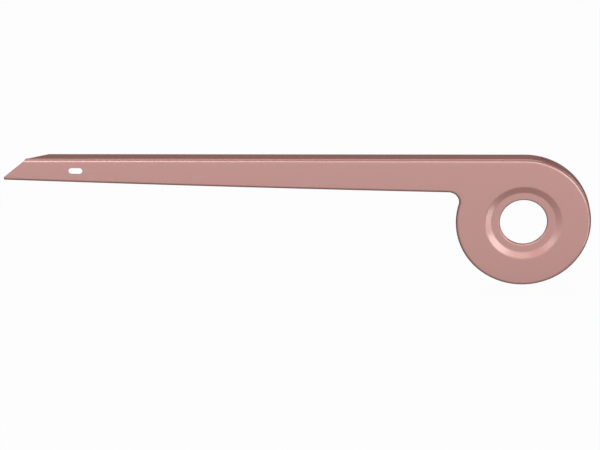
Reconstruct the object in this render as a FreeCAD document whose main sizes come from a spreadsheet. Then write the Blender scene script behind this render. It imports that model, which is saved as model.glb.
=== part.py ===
import FreeCAD
import Part

import math
import os

import Sketcher
from FreeCAD import Placement, Rotation, Vector

# Chain guard pressed from one sheet: a tapering arm with a round disc at its front end.
# The face is upright and looks to -Y; its edges are bent back to +Y. X runs to the front
# of the bicycle and Z up. The origin is on the crank's axis, halfway along the collar of
# the crank opening. Everything is drawn with the face at Y = 0 and moved there at the end.

NODE = "chain_guard"

# Sizes in millimetres and degrees, each with what it measures.
SIZES = [
    ("sheet", 1.2, "thickness of the sheet"),
    ("bend", 3.0, "outer radius of the bend between the face and its edges"),
    ("disc_r", 63.35, "outline radius of the disc"),
    ("neck_r", 10.4, "hollow corner between the arm and the disc"),
    ("neck_z", 30.15, "height of the arm's lower edge where it meets that corner"),
    ("bow_r", 30000.0, "radius of the slight bow of the arm's lower edge"),
    ("tail_x", 485.4, "crank opening to the tip of the tail"),
    ("tail_low", 42.45, "height of the lower corner of the tail"),
    ("tail_high", 45.5, "height where the slanted cut of the tail begins"),
    ("tail_angle", 40.0, "slope of the slanted cut"),
    ("flange", 14.5, "depth of the flange along the top and round the disc"),
    ("lip", 4.5, "depth of the narrow lip along the other edges"),
    ("lip_top", 52.0, "height under which the edges are cut down to the lip"),
    ("fade_from", -16.0, "X where the flange starts to grow out of the lip"),
    ("fade_to", 6.0, "X where it has its full depth"),
    ("clip_x", 443.8, "crank opening to the end of the full flange at the tail"),
    ("clip_start", 462.7, "crank opening to the foot of that sloping end"),
    ("clip_depth", 3.2, "depth of the flange at the foot of the sloping end"),
    ("dish_r", 37.2, "radius where the face starts to fall into the dish"),
    ("floor_r", 29.3, "radius of the flat floor of the dish"),
    ("dish_deep", 1.9, "depth of the dish"),
    ("dish_bend", 5.5, "middle radius of the two soft bends of the dish's sloping side"),
    ("crank_r", 22.1, "radius of the crank opening"),
    ("collar_bend", 1.7, "outer radius of the bend into the collar"),
    ("collar_end", 4.1, "depth of the collar's back edge behind the face"),
    ("slot_x", 418.6, "crank opening to the middle of the tail slot"),
    ("slot_z", 51.8, "height of the tail slot"),
    ("slot_long", 13.0, "length of the tail slot"),
    ("slot_wide", 6.2, "width of the tail slot"),
    ("rim_slot_y", 10.6, "depth of the middle of the rim slots behind the face"),
    ("rim_slot_long", 8.4, "length of the rim slots"),
    ("rim_slot_wide", 3.2, "width of the rim slots"),
    ("rim_slot_a", 17.5, "first rim slot, degrees forward of the top"),
    ("rim_slot_b", 150.0, "second rim slot, degrees forward of the top"),
]
S = {name: value for name, value, text in SIZES}

# How much of the dish's sloping side its two soft bends may take.
BEND_ROOM = 0.9

doc = FreeCAD.newDocument(NODE)
sheet = doc.addObject("Spreadsheet::Sheet", "Sizes")
for row, (name, value, text) in enumerate(SIZES, start=1):
    sheet.set("A%d" % row, str(value))
    sheet.setAlias("A%d" % row, name)
    sheet.set("B%d" % row, text)
doc.recompute()

body = doc.addObject("PartDesign::Body", "Body")
body.Label = NODE
core = doc.addObject("PartDesign::Body", "Core")
core.Label = "space_behind_the_face"


def new_sketch(name, role, offset=None, owner=body):
    """A sketch on one of its body's own planes, moved by offset."""
    sketch = owner.newObject("Sketcher::SketchObject", name)
    plane = [item for item in owner.Origin.OriginFeatures if item.Role == role][0]
    sketch.AttachmentSupport = [(plane, "")]
    sketch.MapMode = "FlatFace"
    if offset is not None:
        sketch.AttachmentOffset = offset
    return sketch


def line(sketch, start, end):
    return sketch.addGeometry(Part.LineSegment(Vector(*start, 0), Vector(*end, 0)), False)


def arc(sketch, centre, radius, first, last):
    """An arc drawn anticlockwise between two angles in degrees."""
    circle = Part.Circle(Vector(*centre, 0), Vector(0, 0, 1), radius)
    return sketch.addGeometry(
        Part.ArcOfCircle(circle, math.radians(first), math.radians(last)), False)


def rule(sketch, *args):
    return sketch.addConstraint(Sketcher.Constraint(*args))


def size(sketch, expression, *args):
    """A dimension that follows an expression of the sheet's names."""
    index = rule(sketch, *args)
    for name in sorted(S, key=len, reverse=True):
        expression = expression.replace("#" + name, "Sizes." + name)
    sketch.setExpression("Constraints[%d]" % index, expression)


def feature(kind, name, owner=body, **settings):
    item = owner.newObject("PartDesign::" + kind, name)
    for key, value in settings.items():
        setattr(item, key, value)
    owner.Tip = item
    return item


def polygon(sketch, corners):
    """A closed polygon; each corner is (x, y, x expression, y expression)."""
    count = len(corners)
    sides = [line(sketch, corners[i][:2], corners[(i + 1) % count][:2]) for i in range(count)]
    for i, (x, y, x_text, y_text) in enumerate(corners):
        rule(sketch, "Coincident", sides[i - 1], 2, sides[i], 1)
        size(sketch, x_text, "DistanceX", -1, 1, sides[i], 1, x)
        size(sketch, y_text, "DistanceY", -1, 1, sides[i], 1, y)


def oblong(sketch, x, y, x_text, y_text, long, wide):
    """A slot with round ends, lying along the sketch's X."""
    half, r = (S[long] - S[wide]) / 2, S[wide] / 2
    right = arc(sketch, (x + half, y), r, -90, 90)
    left = arc(sketch, (x - half, y), r, 90, 270)
    top = line(sketch, (x + half, y + r), (x - half, y + r))
    low = line(sketch, (x - half, y - r), (x + half, y - r))
    rule(sketch, "Tangent", right, 2, top, 1)
    rule(sketch, "Tangent", top, 2, left, 1)
    rule(sketch, "Tangent", left, 2, low, 1)
    rule(sketch, "Tangent", low, 2, right, 1)
    rule(sketch, "Horizontal", top)
    size(sketch, "#%s / 2" % wide, "Radius", right, r)
    size(sketch, "#%s - #%s" % (long, wide), "DistanceX", left, 3, right, 3, 2 * half)
    size(sketch, "%s - (#%s - #%s) / 2" % (x_text, long, wide),
         "DistanceX", -1, 1, left, 3, x - half)
    size(sketch, y_text, "DistanceY", -1, 1, left, 3, y)


def outline(sketch, inset, text):
    """The guard's edge, drawn inset from the outside; returns the open ends at the tail."""
    radius, hollow, low_z = S["disc_r"] - inset, S["neck_r"] + inset, S["neck_z"] + inset
    centre_z = S["neck_z"] - S["neck_r"]
    centre_x = -math.sqrt((S["disc_r"] + S["neck_r"]) ** 2 - centre_z ** 2)
    turn = math.degrees(math.atan2(centre_z, centre_x))
    lean = math.atan2(S["tail_low"] - S["neck_z"], S["tail_x"] + centre_x)
    bow = S["bow_r"] - inset
    bow_x = centre_x + bow * math.sin(lean)
    bow_z = low_z + bow * math.cos(lean)
    first = math.degrees(math.atan2(S["tail_low"] + inset - bow_z, -S["tail_x"] - bow_x))
    last = math.degrees(math.atan2(low_z - bow_z, centre_x - bow_x))
    top = line(sketch, (-S["tail_x"] + 20, radius), (0, radius))
    disc = arc(sketch, (0, 0), radius, turn, 450)
    neck = arc(sketch, (centre_x, centre_z), hollow, turn - 180, 90 - math.degrees(lean))
    low = arc(sketch, (bow_x, bow_z), bow, first, last)
    rule(sketch, "Coincident", disc, 3, -1, 1)
    rule(sketch, "Tangent", top, 2, disc, 2)
    rule(sketch, "Tangent", disc, 1, neck, 1)
    rule(sketch, "Tangent", neck, 2, low, 2)
    rule(sketch, "Horizontal", top)
    size(sketch, "#disc_r - " + text, "Radius", disc, radius)
    size(sketch, "#neck_r + " + text, "Radius", neck, hollow)
    size(sketch, "#bow_r - " + text, "Radius", low, bow)
    size(sketch, "#neck_z + " + text, "DistanceY", -1, 1, neck, 2, low_z)
    size(sketch, "#tail_x", "DistanceX", low, 1, -1, 1, S["tail_x"])
    size(sketch, "#tail_low + " + text, "DistanceY", -1, 1, low, 1, S["tail_low"] + inset)
    return top, low


# Outline of the whole guard, seen from the chain's outer side, with the cut of the tail.
shape = new_sketch("OutlineSketch", "XZ_Plane")
top, low = outline(shape, 0, "0")
rise = S["disc_r"] - S["tail_high"]
slant_x = -S["tail_x"] + rise / math.tan(math.radians(S["tail_angle"]))
tip = line(shape, (-S["tail_x"], S["tail_low"]), (-S["tail_x"], S["tail_high"]))
slant = line(shape, (-S["tail_x"], S["tail_high"]), (slant_x, S["disc_r"]))
rule(shape, "Coincident", low, 1, tip, 1)
rule(shape, "Coincident", tip, 2, slant, 1)
rule(shape, "Coincident", slant, 2, top, 1)
rule(shape, "Vertical", tip)
size(shape, "#tail_high", "DistanceY", -1, 1, tip, 2, S["tail_high"])
size(shape, "(#disc_r - #tail_high) / tan(#tail_angle * 1 deg)",
     "DistanceX", slant, 1, slant, 2, slant_x + S["tail_x"])

# The blank: a block as deep as the flange, its front edges rounded.
block = feature("Pad", "Block", Profile=shape, Reversed=True)
block.setExpression("Length", "Sizes.flange")
doc.recompute()


def edges_at(item, depth):
    """The edges of an item that lie at one depth, without the cut of the tail."""
    return ["Edge%d" % i for i, edge in enumerate(item.Shape.Edges, start=1)
            if abs(edge.BoundBox.YMin - depth) < 1e-4 and abs(edge.BoundBox.YMax - depth) < 1e-4
            and edge.BoundBox.XMax > slant_x + 1]


outside = feature("Fillet", "OuterBend", Base=(block, edges_at(block, 0)))
outside.setExpression("Radius", "Sizes.bend")

# The space behind the face, one thickness of sheet inside the block and open at the tail.
hollow = new_sketch("HollowSketch", "XZ_Plane",
                    Placement(Vector(0, 0, -S["sheet"]), Rotation()), core)
hollow.setExpression("AttachmentOffset.Base.z", "-Sizes.sheet")
top, low = outline(hollow, S["sheet"], "#sheet")
far_x, far_y = -S["tail_x"] - 20, S["flange"] + 10
under = line(hollow, (far_x, S["tail_low"] + S["sheet"]),
             (-S["tail_x"], S["tail_low"] + S["sheet"]))
outer = line(hollow, (far_x, S["disc_r"] - S["sheet"]), (far_x, S["tail_low"] + S["sheet"]))
rule(hollow, "Coincident", under, 2, low, 1)
rule(hollow, "Coincident", outer, 2, under, 1)
rule(hollow, "Coincident", outer, 1, top, 1)
rule(hollow, "Horizontal", under)
rule(hollow, "Vertical", outer)
size(hollow, "#tail_x + 20", "DistanceX", outer, 1, -1, 1, -far_x)
space = feature("Pad", "SpaceBlock", core, Profile=hollow, Reversed=True)
space.setExpression("Length", "Sizes.flange + 10")
doc.recompute()
inside = feature("Fillet", "InnerBend", core, Base=(space, edges_at(space, S["sheet"])))
inside.setExpression("Radius", "Sizes.bend - Sizes.sheet")
doc.recompute()
shell = feature("Boolean", "Sheet", Type="Cut")
shell.setObjects([core])
doc.recompute()

# Below the top flange the edges are only a narrow lip, which grows to the full flange
# under the disc.
lip = new_sketch("LipSketch", "XY_Plane", Placement(Vector(0, 0, S["lip_top"]), Rotation()))
lip.setExpression("AttachmentOffset.Base.z", "Sizes.lip_top")
polygon(lip, [
    (far_x, S["lip"], "-#tail_x - 20", "#lip"),
    (S["fade_from"], S["lip"], "#fade_from", "#lip"),
    (S["fade_to"], S["flange"], "#fade_to", "#flange"),
    (S["fade_to"], far_y, "#fade_to", "#flange + 10"),
    (far_x, far_y, "-#tail_x - 20", "#flange + 10"),
])
feature("Pocket", "LipCut", Profile=lip, Type=1)

# At the tail the top flange ends in a slope.
clip = new_sketch("ClipSketch", "XY_Plane", Placement(Vector(0, 0, S["lip_top"]), Rotation()))
clip.setExpression("AttachmentOffset.Base.z", "Sizes.lip_top")
polygon(clip, [
    (far_x, S["clip_depth"], "-#tail_x - 20", "#clip_depth"),
    (-S["clip_start"], S["clip_depth"], "-#clip_start", "#clip_depth"),
    (-S["clip_x"], S["flange"], "-#clip_x", "#flange"),
    (-S["clip_x"], far_y, "-#clip_x", "#flange + 10"),
    (far_x, far_y, "-#tail_x - 20", "#flange + 10"),
])
feature("Pocket", "ClipCut", Profile=clip, Type=1, Reversed=True)

# The dish round the crank opening: the face is cut away, then turned back in as a sloping
# side, a flat floor and a short collar. The profile's x is the radius, its y the depth.
room = new_sketch("DishHoleSketch", "XZ_Plane")
ring = room.addGeometry(Part.Circle(Vector(0, 0, 0), Vector(0, 0, 1), S["dish_r"]), False)
rule(room, "Coincident", ring, 3, -1, 1)
size(room, "#dish_r", "Radius", ring, S["dish_r"])
hole = feature("Pocket", "DishHole", Profile=room)
hole.setExpression("Length", "Sizes.sheet * 2")

t, h = S["sheet"], S["dish_deep"]
run = S["dish_r"] - S["floor_r"]
soft = min(S["dish_bend"], BEND_ROOM * (run ** 2 + h ** 2) / (4 * h))
soft_text = ("min(#dish_bend; %g * ((#dish_r - #floor_r) ^ 2 + #dish_deep ^ 2) / (4 * #dish_deep))"
             % BEND_ROOM)
drop = 2 * soft - h
slope = math.degrees(math.atan2(run, drop) - math.acos(2 * soft / math.hypot(run, drop)))
outer, inner = soft + t / 2, soft - t / 2
shoulder, foot = (S["dish_r"], outer), (S["floor_r"], h - inner)
bend = (S["crank_r"] + S["collar_bend"], h + S["collar_bend"])
c = S["collar_bend"]


def on_arc(centre, radius, turn):
    a = math.radians(turn)
    return centre[0] + radius * math.cos(a), centre[1] + radius * math.sin(a)


dish = new_sketch("DishSketch", "XY_Plane")
face_step = arc(dish, shoulder, outer, -90 - slope, -90)
face_side = line(dish, on_arc(shoulder, outer, -90 - slope), on_arc(foot, inner, 90 - slope))
face_foot = arc(dish, foot, inner, 90 - slope, 90)
face_floor = line(dish, (foot[0], h), (bend[0], h))
face_bend = arc(dish, bend, c, 180, 270)
bore = line(dish, (S["crank_r"], bend[1]), (S["crank_r"], S["collar_end"]))
rim = line(dish, (S["crank_r"], S["collar_end"]), (S["crank_r"] + t, S["collar_end"]))
collar = line(dish, (S["crank_r"] + t, S["collar_end"]), (S["crank_r"] + t, bend[1]))
back_bend = arc(dish, bend, c - t, 180, 270)
back_floor = line(dish, (bend[0], h + t), (foot[0], h + t))
back_foot = arc(dish, foot, inner + t, 90 - slope, 90)
back_side = line(dish, on_arc(foot, inner + t, 90 - slope),
                 on_arc(shoulder, outer - t, -90 - slope))
back_step = arc(dish, shoulder, outer - t, -90 - slope, -90)
edge = line(dish, (S["dish_r"], t), (S["dish_r"], 0))
rule(dish, "Tangent", face_step, 1, face_side, 1)
rule(dish, "Tangent", face_side, 2, face_foot, 1)
rule(dish, "Tangent", face_foot, 2, face_floor, 1)
rule(dish, "Tangent", face_floor, 2, face_bend, 2)
rule(dish, "Tangent", face_bend, 1, bore, 1)
rule(dish, "Coincident", bore, 2, rim, 1)
rule(dish, "Coincident", rim, 2, collar, 1)
rule(dish, "Tangent", collar, 2, back_bend, 1)
rule(dish, "Tangent", back_bend, 2, back_floor, 1)
rule(dish, "Tangent", back_floor, 2, back_foot, 2)
rule(dish, "Tangent", back_foot, 1, back_side, 1)
rule(dish, "Tangent", back_side, 2, back_step, 1)
rule(dish, "Coincident", back_step, 2, edge, 1)
rule(dish, "Coincident", edge, 2, face_step, 2)
for pair in ((face_step, back_step), (face_foot, back_foot), (face_bend, back_bend)):
    rule(dish, "Coincident", pair[0], 3, pair[1], 3)
for straight in (face_floor, rim):
    rule(dish, "Horizontal", straight)
for straight in (bore, collar, edge):
    rule(dish, "Vertical", straight)
size(dish, "#sheet", "DistanceY", edge, 2, edge, 1, t)
size(dish, "#dish_r", "DistanceX", -1, 1, edge, 2, S["dish_r"])
rule(dish, "PointOnObject", edge, 2, -1)
rule(dish, "Vertical", face_step, 3, edge, 2)
size(dish, "#floor_r", "DistanceX", -1, 1, face_foot, 3, S["floor_r"])
size(dish, "#dish_deep", "DistanceY", -1, 1, face_floor, 1, h)
size(dish, soft_text + " + #sheet / 2", "Radius", face_step, outer)
size(dish, soft_text + " - #sheet / 2", "Radius", face_foot, inner)
size(dish, "#collar_bend", "Radius", face_bend, c)
size(dish, "#crank_r", "DistanceX", -1, 1, bore, 1, S["crank_r"])
size(dish, "#sheet", "DistanceX", rim, 1, rim, 2, t)
size(dish, "#collar_end", "DistanceY", -1, 1, rim, 1, S["collar_end"])
feature("Revolution", "Dish", Profile=dish, ReferenceAxis=(dish, ["V_Axis"]), Angle=360)
doc.recompute()

# The fastening slot of the tail.
tail_slot = new_sketch("TailSlotSketch", "XZ_Plane")
oblong(tail_slot, -S["slot_x"], S["slot_z"], "-#slot_x", "#slot_z", "slot_long", "slot_wide")
cut = feature("Pocket", "TailSlot", Profile=tail_slot)
cut.setExpression("Length", "Sizes.sheet * 2")

# Two slots through the flange of the disc, for the tabs of a bracket behind it.
for letter in "ab":
    name = "rim_slot_" + letter
    turned = Placement(Vector(0, 0, 0), Rotation(Vector(0, 1, 0), S[name]))
    place = turned * Placement(Vector(0, 0, S["disc_r"] + 5), Rotation())
    slot = new_sketch("RimSlotSketch" + letter.upper(), "XY_Plane", place)
    slot.setExpression("AttachmentOffset.Rotation.Angle", "Sizes.%s * 1 deg" % name)
    slot.setExpression("AttachmentOffset.Base.x",
                       "(Sizes.disc_r + 5) * sin(Sizes.%s * 1 deg)" % name)
    slot.setExpression("AttachmentOffset.Base.z",
                       "(Sizes.disc_r + 5) * cos(Sizes.%s * 1 deg)" % name)
    oblong(slot, 0, S["rim_slot_y"], "0", "#rim_slot_y", "rim_slot_long", "rim_slot_wide")
    cut = feature("Pocket", "RimSlot" + letter.upper(), Profile=slot)
    cut.setExpression("Length", "5 + Sizes.sheet * 2")

# The origin goes to the middle of the collar's straight wall.
body.setExpression("Placement.Base.y",
                   "-(Sizes.dish_deep + Sizes.collar_bend + Sizes.collar_end) / 2")

doc.recompute()
for item in doc.Objects:
    if "Invalid" in item.State or "Error" in item.State:
        raise RuntimeError("%s did not build: %s" % (item.Name, item.State))
if body.Shape.isNull() or not body.Shape.isValid() or len(body.Shape.Solids) != 1:
    raise RuntimeError("the guard is not one valid solid")
os.makedirs("parts", exist_ok=True)
body.Shape.exportStep("parts/%s.step" % NODE)
print(NODE, body.Shape.BoundBox, "volume", round(body.Shape.Volume))
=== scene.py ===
"""Bicycle chain guard: one pressed sheet with satin rose-gold paint, in a pale studio."""
import math

import bmesh
import bpy
from bpy.props import FloatProperty, FloatVectorProperty, PointerProperty
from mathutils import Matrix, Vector
from mathutils.geometry import delaunay_2d_cdt


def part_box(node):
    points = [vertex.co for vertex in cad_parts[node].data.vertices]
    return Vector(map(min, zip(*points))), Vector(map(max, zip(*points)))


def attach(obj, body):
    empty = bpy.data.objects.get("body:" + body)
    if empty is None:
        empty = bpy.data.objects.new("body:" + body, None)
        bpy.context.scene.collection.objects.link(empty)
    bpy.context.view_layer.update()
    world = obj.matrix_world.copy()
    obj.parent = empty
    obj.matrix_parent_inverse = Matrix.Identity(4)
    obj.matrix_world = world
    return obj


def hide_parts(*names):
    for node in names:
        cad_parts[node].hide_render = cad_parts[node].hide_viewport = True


bl_info = {
    "name": "Bicycle Chain Guard",
    "version": (1, 0, 0),
    "blender": (4, 5, 0),
    "location": "View3D > Sidebar > Chain Guard",
    "description": "Builds a pressed sheet-metal chain guard and its studio",
    "category": "Object",
}

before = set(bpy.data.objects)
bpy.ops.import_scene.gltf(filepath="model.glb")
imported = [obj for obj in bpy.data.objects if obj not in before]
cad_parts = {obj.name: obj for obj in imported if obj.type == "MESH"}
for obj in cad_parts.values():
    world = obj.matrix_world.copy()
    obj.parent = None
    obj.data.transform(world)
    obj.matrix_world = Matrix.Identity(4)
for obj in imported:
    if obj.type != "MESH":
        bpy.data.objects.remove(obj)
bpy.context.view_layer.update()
GUARD_NODE = "chain_guard"
GUARD_LOW, GUARD_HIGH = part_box(GUARD_NODE)
IMAGE_WIDTH = 600
IMAGE_HEIGHT = 450

# How finely each edge and bend is divided.
ARM_STEPS = 48
RIM_STEPS = 66
FADE_STEPS = 10
LIP_STEPS = 36
NECK_STEPS = 16
BEND_STEPS = 8
RING_STEPS = 128
SLOT_STEPS = 12
FACE_GRID = 0.006
GRID_CLEAR = 0.6  # of a grid step, between the grid and a border
WELD = 2e-6

BEND_ROOM = 0.9  # of the dish's sloping side, for its two soft bends
CUTTER_INSIDE = 0.006  # how far the rim slots' cutters reach in and out of the rim
CUTTER_OUTSIDE = 0.004
ROUNDED_ANGLE = 50.0  # degrees between faces from which an edge is rounded


# ---------------------------------------------------------------- sizes and colours


def length(name, description, default):
    return FloatProperty(name=name, description=description, default=default,
                         unit="LENGTH", subtype="DISTANCE", precision=5)


def angle(name, description, degrees):
    return FloatProperty(name=name, description=description, default=math.radians(degrees),
                         unit="ROTATION", subtype="ANGLE")


def factor(name, description, default):
    return FloatProperty(name=name, description=description, default=default,
                         min=0.0, max=1.0, subtype="FACTOR")


def colour(name, description, default):
    return FloatVectorProperty(name=name, description=description, default=default,
                               size=3, min=0.0, max=1.0, subtype="COLOR")


def pixels(name, description, default):
    return FloatProperty(name=name, description=description, default=default, subtype="PIXEL")


class GuardShape(bpy.types.PropertyGroup):
    """Sizes of the pressed sheet, as in the CAD part."""

    sheet: length("Sheet", "Thickness of the sheet", 0.0012)
    bend: length("Bend", "Outer radius of the bend along the edges", 0.003)
    disc_radius: length("Disc radius", "Outline radius of the disc", GUARD_HIGH.x)
    neck_radius: length("Neck radius", "Hollow corner between arm and disc", 0.0104)
    neck_height: length("Neck height", "Height of the arm's lower edge at the disc", 0.03015)
    bow_radius: length("Bow radius", "Radius of the bow of the arm's lower edge", 30.0)
    tail_length: length("Tail length", "Crank axis to the tip of the tail", -GUARD_LOW.x)
    tail_low: length("Tail low", "Height of the tail's lower corner", 0.04245)
    tail_high: length("Tail high", "Height where the slanted cut begins", 0.0455)
    tail_slope: angle("Tail slope", "Slope of the slanted cut", 40.0)
    face: length("Face", "Position of the face along Y", GUARD_LOW.y)
    flange: length("Flange", "Depth of the flange", GUARD_HIGH.y - GUARD_LOW.y)
    lip: length("Lip", "Depth of the narrow lip", 0.0045)
    fade_from: length("Lip end", "X where the flange grows out of the lip", -0.016)
    fade_to: length("Flange end", "X where the flange is whole", 0.006)
    clip_whole: length("Clip end", "Crank axis to the whole flange at the tail", 0.4438)
    clip_foot: length("Clip foot", "Crank axis to the foot of the sloping end", 0.4627)
    clip_depth: length("Clip depth", "Depth of the flange at that foot", 0.0032)
    dish_radius: length("Dish radius", "Radius where the face falls into the dish", 0.0372)
    floor_radius: length("Floor radius", "Radius of the dish's flat floor", 0.0293)
    dish_depth: length("Dish depth", "Depth of the dish", 0.0019)
    dish_bend: length("Dish bend", "Middle radius of the two soft bends of the dish", 0.0055)
    crank_radius: length("Crank opening", "Radius of the crank opening", 0.0221)
    collar_bend: length("Collar bend", "Outer radius of the bend into the collar", 0.0017)
    collar_end: length("Collar end", "Depth of the collar's back edge", 0.0041)
    slot_along: length("Slot place", "Crank axis to the middle of the tail slot", 0.4186)
    slot_height: length("Slot height", "Height of the tail slot", 0.0518)
    slot_length: length("Slot length", "Length of the tail slot", 0.013)
    slot_width: length("Slot width", "Width of the tail slot", 0.0062)
    rim_slot_depth: length("Rim slot place", "Depth of the rim slots' middle", 0.0106)
    rim_slot_length: length("Rim slot length", "Length of the rim slots", 0.0084)
    rim_slot_width: length("Rim slot width", "Width of the rim slots", 0.0032)
    rim_slot_top: angle("Upper rim slot", "Angle forward of the top", 17.5)
    rim_slot_low: angle("Lower rim slot", "Angle forward of the top", 150.0)
    edge_round: length("Edge rounding", "Rounding of the cut edges", 0.00022)


class GuardPaint(bpy.types.PropertyGroup):
    """The satin metallic paint."""

    base: colour("Base", "Colour of the metallic paint", (0.51, 0.219, 0.186))
    shade: colour("Shade", "Colour where the coat is thicker", (0.465, 0.196, 0.165))
    roughness: factor("Roughness", "Roughness of the metallic layer", 0.56)
    coat: factor("Coat", "Weight of the clear coat", 1.0)
    coat_roughness: factor("Coat roughness", "Roughness of the clear coat", 0.22)
    flake_size: length("Flake size", "Size of the metallic flakes", 0.0004)


class StudioSet(bpy.types.PropertyGroup):
    """Floor, lamps and camera."""

    elevation: angle("Elevation", "Height of the camera above the horizon", 22.3)
    roll: angle("Roll", "Turn of the camera about its view", 0.06)
    millimetres_per_pixel: FloatProperty(
        name="Picture scale", description="Millimetres of the face per picture pixel",
        default=0.9367, min=0.1, max=10.0)
    crank_column: pixels("Crank column", "Picture column of the crank axis", 523.55)
    crank_row: pixels("Crank row", "Picture row of the crank axis on the face", 223.0)
    distance: length("Camera distance", "Camera to the guard's face", 3.4)
    lamp_level: FloatProperty(name="Lamps", description="Level of all the lamps", default=1.0,
                              min=0.0)
    world: factor("World", "Brightness of the surroundings", 0.3)


# ---------------------------------------------------------------- shader sockets


class Socket:
    """A node socket or a number that can be used in Python expressions."""

    def __init__(self, tree, value):
        self.tree, self.value = tree, value

    def math(self, operation, other):
        return self.tree.node("ShaderNodeMath", {"operation": operation}, (self, other))

    def __add__(self, other):
        return self.math("ADD", other)

    __radd__ = __add__

    def __rsub__(self, other):
        return Socket(self.tree, other).math("SUBTRACT", self)

    def __mul__(self, other):
        return self.math("MULTIPLY", other)

    __rmul__ = __mul__


class Shader:
    """A node tree with one method that adds any node."""

    def __init__(self, owner):
        owner.use_nodes = True
        self.tree = owner.node_tree
        self.tree.nodes.clear()

    def node(self, kind, settings=None, inputs=(), output=0):
        made = self.tree.nodes.new(kind)
        settings = dict(settings or {})
        stops = settings.pop("stops", None)
        for key, value in settings.items():
            setattr(made, key, value)
        if stops:
            ramp = made.color_ramp
            for spot, _ in stops[len(ramp.elements):]:
                ramp.elements.new(spot)
            for element, (spot, tone) in zip(ramp.elements, stops):
                element.position, element.color = spot, (*tone, 1.0)
        named = inputs.items() if isinstance(inputs, dict) else enumerate(inputs)
        for key, value in named:
            value = getattr(value, "value", value)
            socket = made.inputs[key]
            if isinstance(value, bpy.types.NodeSocket):
                self.tree.links.new(value, socket)
            elif socket.type == "RGBA":
                socket.default_value = (*value, 1.0)
            else:
                socket.default_value = value
        return Socket(self, made.outputs[output] if made.outputs else None)

    def mix(self, amount, first, second):
        return self.node("ShaderNodeMix", {"data_type": "RGBA"},
                         {0: amount, 6: first, 7: second}, 2)

    def noise(self, where, scale):
        return self.node("ShaderNodeTexNoise", None, {"Vector": where, "Scale": scale}, "Fac")


# ---------------------------------------------------------------- the paint

CLOUD_SCALE = 9.0  # slow change over the sheet, per metre
PEEL_SCALE = 700.0  # the coat's fine waves, per metre
GRAIN_STRENGTH = 0.12
GRAIN_HEIGHT = 0.00006
METAL = 0.9
EDGE_TINT = (1.0, 0.72, 0.66)
COAT_IOR = 2.15


def paint_material(paint):
    """Satin metallic paint: a rough metal layer with fine flakes under a thin clear coat."""
    material = bpy.data.materials.new("rose_gold_paint")
    shader = Shader(material)
    where = shader.node("ShaderNodeTexCoord", None, (), "Object")
    cloud = shader.noise(where, CLOUD_SCALE)
    peel = shader.noise(where, PEEL_SCALE)
    flakes = shader.node("ShaderNodeTexVoronoi", None,
                         {"Vector": where, "Scale": 1.0 / paint.flake_size}, "Color")
    glint = shader.node("ShaderNodeSeparateColor", None, (flakes,), 0)
    tone = shader.mix(cloud * 0.6 + glint * 0.4, tuple(paint.shade), tuple(paint.base))
    rough = paint.roughness - 0.04 + cloud * 0.05 + glint * 0.04
    grain = shader.node("ShaderNodeBump", None, {
        "Strength": GRAIN_STRENGTH, "Distance": GRAIN_HEIGHT, "Height": peel * 0.6 + glint * 0.4})
    metal = shader.node("ShaderNodeBsdfPrincipled", None, {
        "Base Color": tone, "Metallic": METAL, "Roughness": rough, "Normal": grain,
        "Specular Tint": EDGE_TINT, "Coat Weight": paint.coat,
        "Coat Roughness": paint.coat_roughness, "Coat IOR": COAT_IOR})
    shader.node("ShaderNodeOutputMaterial", None, (metal,))
    return material


# ---------------------------------------------------------------- the pressed sheet


def pointing(turn):
    """The direction at an angle, in the XZ plane."""
    return Vector((math.cos(turn), math.sin(turn)))


def arc(centre, radius, first, last, count):
    """(place, direction from the centre) at the start of each step of an arc."""
    ways = [pointing(first + (last - first) * i / count) for i in range(count)]
    return [(centre + way * radius, way) for way in ways]


def arm_top(shape):
    """The arm's upper edge from the slanted cut to the disc."""
    slant = -shape.tail_length + (shape.disc_radius - shape.tail_high) / math.tan(shape.tail_slope)
    spots = [slant, -shape.clip_foot]
    spots += [-shape.clip_whole * (1 - i / ARM_STEPS) for i in range(ARM_STEPS)]
    points = []
    for x in spots:
        grown = (x + shape.clip_foot) / (shape.clip_foot - shape.clip_whole)
        depth = shape.clip_depth + (shape.flange - shape.clip_depth) * min(1.0, max(0.0, grown))
        points.append((Vector((x, shape.disc_radius)), Vector((0.0, 1.0)), depth))
    return points


def disc_edge(shape, end):
    """The disc's edge from its top to an angle: flange, then its slope, then lip."""
    centre, radius = Vector((0.0, 0.0)), shape.disc_radius
    whole, gone = (-math.acos(x / radius) for x in (shape.fade_to, shape.fade_from))
    points = [(place, out, shape.flange)
              for place, out in arc(centre, radius, math.pi / 2, whole, RIM_STEPS)]
    for place, out in arc(centre, radius, whole, gone, FADE_STEPS):
        grown = (place.x - shape.fade_from) / (shape.fade_to - shape.fade_from)
        points.append((place, out, shape.lip + (shape.flange - shape.lip) * grown))
    points += [(place, out, shape.lip)
               for place, out in arc(centre, radius, gone, end, LIP_STEPS)]
    return points


def arm_low(shape, joint, tail):
    """The arm's lower edge from the corner to the tail, with its slight bow."""
    chord = tail - joint
    away = Vector((chord.y, -chord.x)).normalized()
    if away.y > 0:
        away.negate()
    sag = chord.length ** 2 / (8 * shape.bow_radius)
    points = []
    for i in range(ARM_STEPS + 1):
        t = i / ARM_STEPS
        points.append((joint + chord * t + away * (4 * sag * t * (1 - t)), away, shape.lip))
    return points


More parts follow.
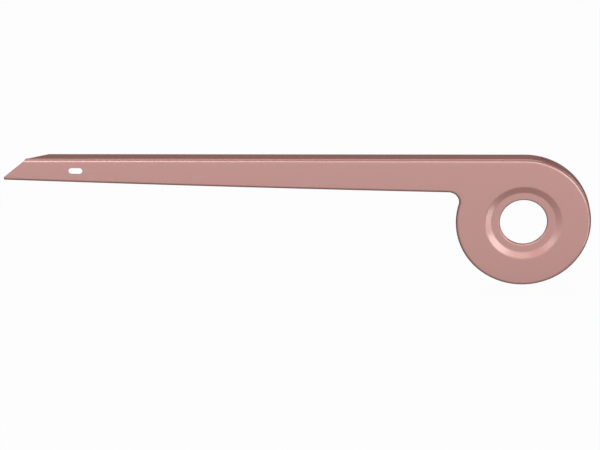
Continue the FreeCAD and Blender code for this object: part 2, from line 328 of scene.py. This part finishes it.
def outline(shape):
    """Points along the outer edge from the tail's top round to its bottom.

    Each is (place, outward direction, depth of the edge there), in the XZ plane."""
    hollow = shape.neck_radius
    neck = Vector((0.0, shape.neck_height - hollow))
    neck.x = -math.sqrt((shape.disc_radius + hollow) ** 2 - neck.y ** 2)
    meet = math.atan2(neck.y, neck.x) - 2 * math.pi
    tail = Vector((-shape.tail_length, shape.tail_low))
    lean = math.atan2(tail.y - shape.neck_height, neck.x - tail.x)
    leave = math.pi / 2 - lean
    corner = [(place, -out, shape.lip)
              for place, out in arc(neck, hollow, meet + math.pi, leave, NECK_STEPS)]
    joint = neck + pointing(leave) * hollow
    return arm_top(shape) + disc_edge(shape, meet) + corner + arm_low(shape, joint, tail)


def edge_profile(shape, depth):
    """(outward, depth) of the bend and flange: the outer skin, then the inner skin."""
    bend, sheet = shape.bend, shape.sheet
    outer, inner = [], []
    for i in range(BEND_STEPS + 1):
        a = math.pi / 2 * i / BEND_STEPS
        outer.append((-bend + bend * math.sin(a), bend - bend * math.cos(a)))
        inner.append((-bend + (bend - sheet) * math.sin(a), bend - (bend - sheet) * math.cos(a)))
    outer.append((0.0, depth))
    inner.append((-sheet, depth))
    return outer, inner


def dish_profile(shape):
    """(radius, depth) of the dish and collar: the front skin, then the back skin."""
    sheet, deep, bend = shape.sheet, shape.dish_depth, shape.collar_bend
    run = shape.dish_radius - shape.floor_radius
    soft = min(shape.dish_bend, BEND_ROOM * (run ** 2 + deep ** 2) / (4 * deep))
    drop = 2 * soft - deep
    slope = math.atan2(run, drop) - math.acos(2 * soft / math.hypot(run, drop))
    skins = []
    for offset in (0.0, sheet):
        outer, inner = soft + sheet / 2 - offset, soft - sheet / 2 + offset
        small = bend - offset
        skin = []
        for i in range(BEND_STEPS + 1):
            a = slope * i / BEND_STEPS
            skin.append((shape.dish_radius - outer * math.sin(a),
                         soft + sheet / 2 - outer * math.cos(a)))
        for i in range(BEND_STEPS, -1, -1):
            a = slope * i / BEND_STEPS
            skin.append((shape.floor_radius + inner * math.sin(a),
                         deep - soft + sheet / 2 + inner * math.cos(a)))
        for i in range(BEND_STEPS + 1):
            a = math.pi / 2 * i / BEND_STEPS
            skin.append((shape.crank_radius + bend - small * math.sin(a),
                         deep + bend - small * math.cos(a)))
        skin.append((shape.crank_radius + offset, shape.collar_end))
        skins.append(skin)
    return skins


def inside(point, loop):
    """True if a 2D point is inside a closed loop."""
    x, y = point
    hit = False
    for (ax, ay), (bx, by) in zip(loop, loop[1:] + loop[:1]):
        if (ay > y) != (by > y) and x < (bx - ax) * (y - ay) / (by - ay) + ax:
            hit = not hit
    return hit


def on_sheet(point, loops):
    """True if a 2D point is inside the first loop and in none of its holes."""
    return inside(point, loops[0]) and not any(inside(point, hole) for hole in loops[1:])


def flat_triangles(loops):
    """Triangles of a flat area between an outer loop and its holes, with a loose grid inside."""
    border = [p for loop in loops for p in loop]
    edges, start = [], 0
    for loop in loops:
        count = len(loop)
        edges += [(start + i, start + (i + 1) % count) for i in range(count)]
        start += count
    points = list(border)
    xs, ys = [p[0] for p in loops[0]], [p[1] for p in loops[0]]
    rows = int((max(ys) - min(ys)) / FACE_GRID)
    columns = int((max(xs) - min(xs)) / FACE_GRID)
    clear = (FACE_GRID * GRID_CLEAR) ** 2
    for j in range(rows + 1):
        for i in range(columns + 1):
            p = (min(xs) + (i + 0.5 * (j % 2)) * FACE_GRID, min(ys) + (j + 0.5) * FACE_GRID)
            if on_sheet(p, loops) and \
                    min((p[0] - q[0]) ** 2 + (p[1] - q[1]) ** 2 for q in border) > clear:
                points.append(p)
    places, _, faces, *_ = delaunay_2d_cdt([Vector(p) for p in points], edges, [], 0, 1e-9)
    return places, [face for face in faces
                    if on_sheet(sum((places[i] for i in face), Vector((0.0, 0.0))) / len(face),
                                loops)]


def circle(radius):
    """Points round the crank axis."""
    turns = [2 * math.pi * i / RING_STEPS for i in range(RING_STEPS)]
    return [(radius * math.cos(turn), radius * math.sin(turn)) for turn in turns]


def oblong(length, width):
    """A slot outline with round ends about the origin."""
    half, r = (length - width) / 2, width / 2
    points = []
    for side, start in ((1, -math.pi / 2), (-1, math.pi / 2)):
        for i in range(SLOT_STEPS + 1):
            a = start + math.pi * i / SLOT_STEPS
            points.append((side * half + r * math.cos(a), r * math.sin(a)))
    return points


def row_of(mesh, shape, points, depth):
    """Vertices at points of the XZ plane, at a depth behind the face."""
    return [mesh.verts.new((x, shape.face + depth, z)) for x, z in points]


def band(mesh, first, second, closed):
    """Faces between two rows of vertices."""
    count = len(first)
    for i in range(count if closed else count - 1):
        j = (i + 1) % count
        mesh.faces.new((first[i], first[j], second[j], second[i]))


def edge_skins(mesh, shape):
    """The bend with its flange and lip. Gives the points where it leaves the flat face."""
    points = outline(shape)
    last = len(points) - 1
    lean = 1 / math.tan(shape.tail_slope)
    columns = []
    for i, (place, out, depth) in enumerate(points):
        column = []
        for skin in edge_profile(shape, depth):
            row = []
            for offset, deep in skin:
                p = place + out * offset
                if i == 0:
                    p.x += offset * lean
                if i == last:
                    p.x = -shape.tail_length
                row += row_of(mesh, shape, [p], deep)
            column.append(row)
        columns.append(column)
    for (a_out, a_in), (b_out, b_in) in zip(columns, columns[1:]):
        band(mesh, a_out, b_out, False)
        band(mesh, a_in, b_in, False)
        mesh.faces.new((a_out[-1], a_in[-1], b_in[-1], b_out[-1]))
    for out_row, in_row in (columns[0], columns[-1]):
        band(mesh, out_row, in_row, False)
    return [(outer[0].co.x, outer[0].co.z) for outer, _ in columns]


def flat_skins(mesh, shape, rim):
    """Front and back of the flat face, with the walls of its slot and of the cut tail."""
    tail = [(-shape.tail_length, shape.tail_high)]
    slot = [(x - shape.slot_along, z + shape.slot_height)
            for x, z in oblong(shape.slot_length, shape.slot_width)]
    places, triangles = flat_triangles([rim + tail, circle(shape.dish_radius), slot])
    for depth in (0.0, shape.sheet):
        verts = row_of(mesh, shape, places, depth)
        for face in triangles:
            mesh.faces.new([verts[i] for i in face])
    for loop, closed in ((slot, True), ([rim[-1]] + tail + [rim[0]], False)):
        band(mesh, row_of(mesh, shape, loop, 0.0), row_of(mesh, shape, loop, shape.sheet), closed)


def dish_skins(mesh, shape):
    """Front and back of the dish and its collar."""
    front, back = dish_profile(shape)
    rings = [row_of(mesh, shape, circle(radius), deep) for radius, deep in front + back[::-1]]
    for first, second in zip(rings, rings[1:]):
        band(mesh, first, second, True)


def guard_mesh(shape):
    """The whole guard as one closed mesh, without its rim slots."""
    mesh = bmesh.new()
    rim = edge_skins(mesh, shape)
    flat_skins(mesh, shape, rim)
    dish_skins(mesh, shape)
    bmesh.ops.remove_doubles(mesh, verts=mesh.verts, dist=WELD)
    bmesh.ops.recalc_face_normals(mesh, faces=mesh.faces)
    return mesh


def slot_cutter(shape, turn):
    """A bar with round ends that stands through the rim at an angle forward of the top."""
    mesh = bmesh.new()
    rings = []
    for height in (shape.disc_radius - CUTTER_INSIDE, shape.disc_radius + CUTTER_OUTSIDE):
        rings.append([mesh.verts.new((
            x * math.cos(turn) + height * math.sin(turn),
            shape.face + shape.rim_slot_depth + y,
            height * math.cos(turn) - x * math.sin(turn)))
            for x, y in oblong(shape.rim_slot_length, shape.rim_slot_width)])
    band(mesh, *rings, True)
    mesh.faces.new(rings[0][::-1])
    mesh.faces.new(rings[1])
    bmesh.ops.recalc_face_normals(mesh, faces=mesh.faces)
    return mesh


def new_object(name, mesh):
    data = bpy.data.meshes.new(name)
    mesh.to_mesh(data)
    mesh.free()
    made = bpy.data.objects.new(name, data)
    bpy.context.scene.collection.objects.link(made)
    return made


def cut_slots(context, guard, cutters):
    """Cuts the rim slots and gives the guard the finished mesh."""
    for cutter in cutters:
        cut = guard.modifiers.new("slot", "BOOLEAN")
        cut.operation, cut.solver, cut.object = "DIFFERENCE", "EXACT", cutter
    context.view_layer.update()
    guard.data = bpy.data.meshes.new_from_object(
        guard.evaluated_get(context.evaluated_depsgraph_get()))
    guard.data.name = "guard_sheet"
    guard.modifiers.clear()
    for cutter in cutters:
        bpy.data.objects.remove(cutter)


class CHAINGUARD_OT_guard(bpy.types.Operator):
    """Build the pressed sheet with its dish, flange and slots"""

    bl_idname = "chainguard.guard"
    bl_label = "Guard"

    def execute(self, context):
        shape = context.scene.guard_shape
        guard = new_object("guard_sheet", guard_mesh(shape))
        cut_slots(context, guard, [new_object("rim_slot_cutter", slot_cutter(shape, turn))
                                   for turn in (shape.rim_slot_top, shape.rim_slot_low)])
        guard.data.materials.clear()
        guard.data.materials.append(paint_material(context.scene.guard_paint))
        guard.data.shade_smooth()
        soft = guard.modifiers.new("soft edges", "BEVEL")
        soft.width, soft.segments = shape.edge_round, 2
        soft.limit_method, soft.angle_limit = "ANGLE", math.radians(ROUNDED_ANGLE)
        soft.harden_normals = False
        even = guard.modifiers.new("even shading", "WEIGHTED_NORMAL")
        even.mode, even.weight, even.keep_sharp = "FACE_AREA", 50, False
        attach(guard, "root")
        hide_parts(GUARD_NODE)
        return {"FINISHED"}


# ---------------------------------------------------------------- the studio

# Brightness that the paint shows, over the turn from the back below (0) through the front
# (0.5) and overhead (0.75) to the back again (1).
SKY_STOPS = [(turn, (tone,) * 3) for turn, tone in (
    (0.0, 0.06), (0.2, 0.06), (0.33, 0.4), (0.41, 0.62), (0.45, 0.7),
    (0.65, 0.7), (0.72, 0.42), (0.78, 0.28), (0.92, 0.1), (1.0, 0.2))]

# Soft boxes: degrees to the right of the front, degrees above the horizon, the spot along X
# that they stand off, width and height in metres, and how bright they are. The key, left and
# both low ones reach under the floor, which the paint doesn't show, and light it from there.
LAMP_DISTANCE = 2.0
LAMP_AIM = 0.8  # of the spot, for the point that a lamp faces
LAMPS = {
    "key": (32, 3, 0.0, 1.1, 1.1, 2.85),
    "left": (-30, 6, 0.0, 0.9, 0.9, 1.65),
    "tail top": (-4, 32, -0.58, 0.8, 0.8, 3.85),
    "disc top": (4, 22, 0.15, 0.9, 0.8, 2.1),
    "low": (0, -15, -0.2, 1.6, 0.7, 0.4),
    "low right": (46, -28, 0.0, 0.8, 0.7, 2.2),
    "back": (0, 116, -0.2, 2.0, 1.8, 1.05),
    "rear right": (125, 14, 0.0, 1.0, 1.0, 1.6),
    "rear left": (-125, 14, -0.4, 1.0, 1.0, 1.6),
}

WHITE = (1.0, 1.0, 1.0)
FLOOR_SIZE = 24.0
FLOOR_GAP = 0.0002
FLOOR_COLOUR = (0.86, 0.86, 0.86)
FLOOR_GLOW = 0.95  # share of white that the camera sees; the rest takes the shadow
SENSOR_WIDTH = 36.0
CAMERA_NEAR = 0.05
CAMERA_FAR = 60.0


def lamp(name, place, target, width, height, power):
    """A soft box that points at a target."""
    data = bpy.data.lights.new(name, "AREA")
    data.shape, data.size, data.size_y = "RECTANGLE", width, height
    data.energy = power
    made = bpy.data.objects.new(name, data)
    made.location = place
    made.rotation_euler = (Vector(target) - place).to_track_quat("-Z", "Y").to_euler()
    bpy.context.scene.collection.objects.link(made)


def lamps(level):
    """Stands the soft boxes round the guard."""
    for name, (right, up, spot, width, height, bright) in LAMPS.items():
        right, up = math.radians(right), math.radians(up)
        away = Vector((math.cos(up) * math.sin(right), -math.cos(up) * math.cos(right),
                       math.sin(up))) * LAMP_DISTANCE
        lamp(name, away + Vector((spot, 0.0, 0.0)), (spot * LAMP_AIM, 0.0, 0.0), width, height,
             level * bright * math.pi * width * height)


def seen_rays(shader):
    """One for the rays that show the background: from the camera, in metal and through glass."""
    camera, gloss, through = (shader.node("ShaderNodeLightPath", None, (), "Is %s Ray" % kind)
                              for kind in ("Camera", "Glossy", "Transmission"))
    return camera + gloss + through


def sky(world, dim):
    """White round the camera. The paint shows it bright in front and dark above and behind."""
    shader = Shader(world)
    way = shader.node("ShaderNodeTexCoord", None, (), "Generated")
    back, up = (shader.node("ShaderNodeSeparateXYZ", None, (way,), axis) for axis in "YZ")
    turn = up.math("ARCTAN2", 0.0 - back) * (0.5 / math.pi) + 0.5
    shades = shader.node("ShaderNodeValToRGB", {"stops": SKY_STOPS}, {"Fac": turn})
    gloss = shader.node("ShaderNodeLightPath", None, (), "Is Glossy Ray")
    tone = shader.mix(gloss, WHITE, shades)
    strength = seen_rays(shader) * (1 - dim) + dim
    light = shader.node("ShaderNodeBackground", None, {"Color": tone, "Strength": strength})
    shader.node("ShaderNodeOutputWorld", None, (light,))


def floor_material():
    """Pale floor that shows nearly white where no shadow falls on it."""
    material = bpy.data.materials.new("pale_floor")
    shader = Shader(material)
    skin = shader.node("ShaderNodeBsdfDiffuse", None, {"Color": FLOOR_COLOUR})
    glow = shader.node("ShaderNodeEmission", None, {"Color": WHITE, "Strength": 1.0})
    both = shader.node("ShaderNodeMixShader", None, (seen_rays(shader) * FLOOR_GLOW, skin, glow))
    shader.node("ShaderNodeOutputMaterial", None, (both,))
    return material


def floor(height):
    """A wide floor that the paint's reflections don't show."""
    mesh = bmesh.new()
    bmesh.ops.create_grid(mesh, x_segments=1, y_segments=1, size=FLOOR_SIZE / 2)
    made = new_object("floor", mesh)
    made.location = (0.0, 0.0, height)
    made.data.materials.append(floor_material())
    made.visible_glossy = False


def camera(studio, face):
    """The camera of the photograph, aimed by the crank's place in the picture."""
    scale, rise = studio.millimetres_per_pixel / 1000, studio.elevation
    aim = Vector(((IMAGE_WIDTH / 2 - studio.crank_column) * scale, face,
                  (studio.crank_row - IMAGE_HEIGHT / 2) * scale / math.cos(rise)))
    data = bpy.data.cameras.new("camera")
    data.sensor_width = SENSOR_WIDTH
    data.lens = SENSOR_WIDTH * studio.distance / (IMAGE_WIDTH * scale)
    data.clip_start, data.clip_end = CAMERA_NEAR, CAMERA_FAR
    made = bpy.data.objects.new("camera", data)
    made.location = aim + Vector((0.0, -math.cos(rise), math.sin(rise))) * studio.distance
    made.rotation_euler = (math.pi / 2 - rise, 0.0, 0.0)
    made.rotation_euler.rotate_axis("Z", studio.roll)
    bpy.context.scene.collection.objects.link(made)
    return made


class CHAINGUARD_OT_studio(bpy.types.Operator):
    """Set the floor, the lamps, the world and the camera"""

    bl_idname = "chainguard.studio"
    bl_label = "Studio"

    def execute(self, context):
        scene, studio = context.scene, context.scene.guard_studio
        floor(GUARD_LOW.z - FLOOR_GAP)
        scene.world = bpy.data.worlds.new("studio")
        sky(scene.world, studio.world)
        lamps(studio.lamp_level)
        scene.camera = camera(studio, scene.guard_shape.face)
        scene.view_settings.view_transform = "Standard"
        return {"FINISHED"}


class CHAINGUARD_PT_panel(bpy.types.Panel):
    """Lists the pieces and their sizes"""

    bl_label = "Chain Guard"
    bl_idname = "CHAINGUARD_PT_panel"
    bl_space_type = "VIEW_3D"
    bl_region_type = "UI"
    bl_category = "Chain Guard"

    def draw(self, context):
        for operator in OPERATORS:
            self.layout.operator(operator.bl_idname)
        for name, group in GROUPS.items():
            box = self.layout.box()
            for key in group.__annotations__:
                box.prop(getattr(context.scene, name), key)


GROUPS = {"guard_shape": GuardShape, "guard_paint": GuardPaint, "guard_studio": StudioSet}
OPERATORS = (CHAINGUARD_OT_guard, CHAINGUARD_OT_studio)
CLASSES = (*GROUPS.values(), *OPERATORS, CHAINGUARD_PT_panel)


def register():
    for cls in CLASSES:
        bpy.utils.register_class(cls)
    for name, group in GROUPS.items():
        setattr(bpy.types.Scene, name, PointerProperty(type=group))


def unregister():
    for name in GROUPS:
        delattr(bpy.types.Scene, name)
    for cls in reversed(CLASSES):
        bpy.utils.unregister_class(cls)


def main():
    register()
    bpy.ops.chainguard.guard()
    bpy.ops.chainguard.studio()


if __name__ == "__main__":
    main()
